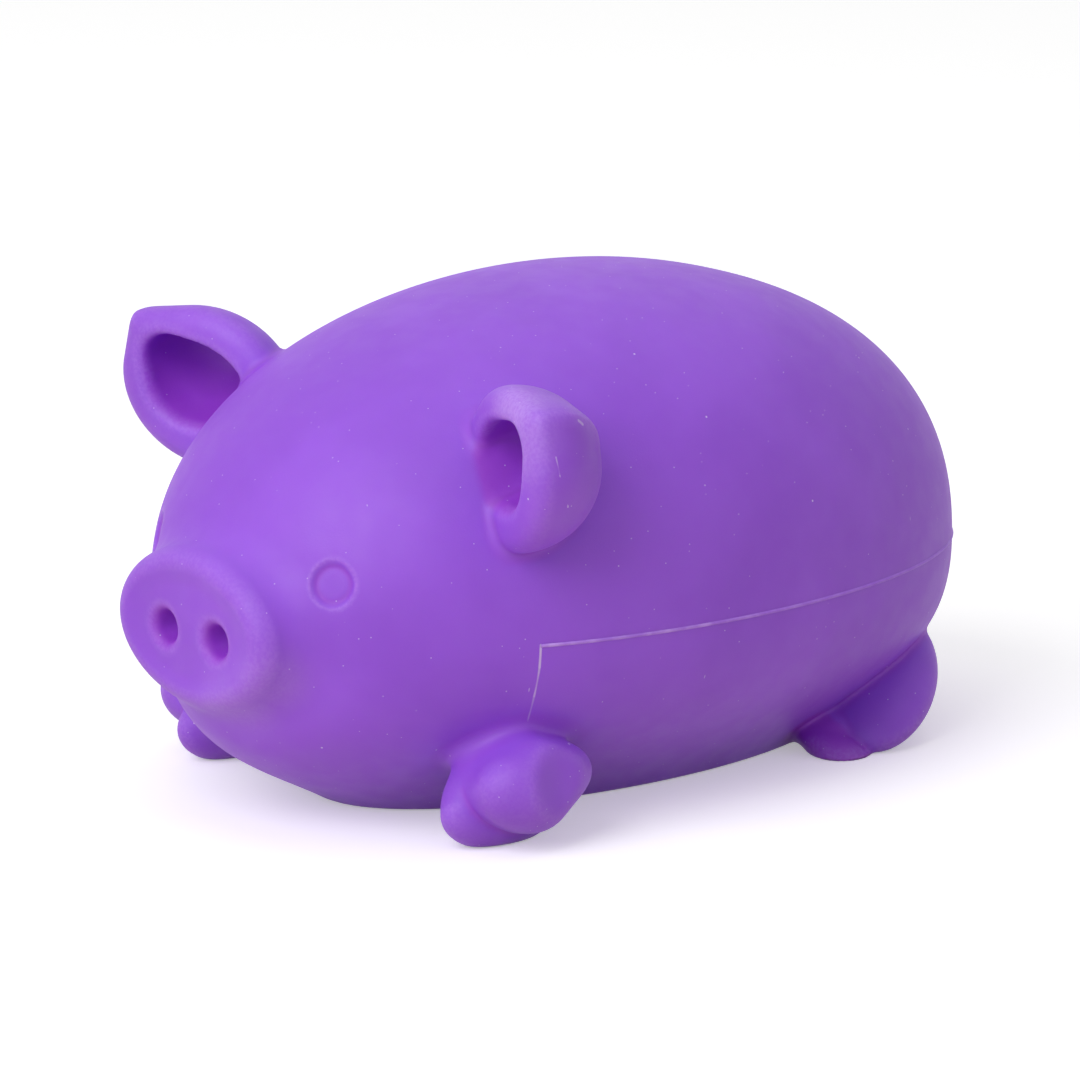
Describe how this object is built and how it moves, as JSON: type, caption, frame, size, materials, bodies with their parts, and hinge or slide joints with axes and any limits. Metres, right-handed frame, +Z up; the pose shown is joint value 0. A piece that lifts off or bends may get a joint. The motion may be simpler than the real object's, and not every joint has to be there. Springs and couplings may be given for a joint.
{
  "type": "pig squeeze toy",
  "caption": "Squeeze toy in the shape of a round pig, with a soft rubber skin over a dough-like filling, cupped ears that flex and a back that presses down.",
  "frame": {"origin": "on the ground under the middle of the toy, halfway between the snout's front and the tail's end", "axes": "+Z up, the pig looks along -Y, its left side is +X; it rests on z = 0 on the flat of its belly"},
  "size_m": [0.0854, 0.1129, 0.0595],
  "materials": {
    "skin": "satin, slightly translucent purple rubber",
    "filling": "matt soft dough",
    "plug": "satin purple rubber"
  },
  "bodies": {
    "belly": {"belly_skin": "skin", "front_left_foot": "skin", "front_right_foot": "skin", "rear_left_foot": "skin", "rear_right_foot": "skin", "soft_filling": "filling", "filler_plug": "plug"},
    "back": {"back_skin": "skin", "snout": "skin", "tail": "skin"},
    "left_ear": {"ear_left": "skin"},
    "right_ear": {"ear_right": "skin"}
  },
  "joints": [
    {"name": "squeeze", "type": "slide", "parent": "belly", "child": "back", "axis": [0, 0, -1], "range_m": [0, 0.006], "stiffness_N_per_m": 1500, "springref_m": -0.002, "deforming": ["belly_skin", "soft_filling"]},
    {"name": "ear_left_flex", "type": "hinge", "parent": "back", "child": "left_ear", "pos_m": [0.02478, -0.02965, 0.04351], "axis": [0.2337, -0.0626, -0.9703], "range_deg": [-20, 30], "stiffness_Nm_per_rad": 0.02},
    {"name": "ear_right_flex", "type": "hinge", "parent": "back", "child": "right_ear", "pos_m": [-0.02478, -0.02965, 0.04351], "axis": [0.2337, 0.0626, 0.9703], "range_deg": [-20, 30], "stiffness_Nm_per_rad": 0.02}
  ]
}
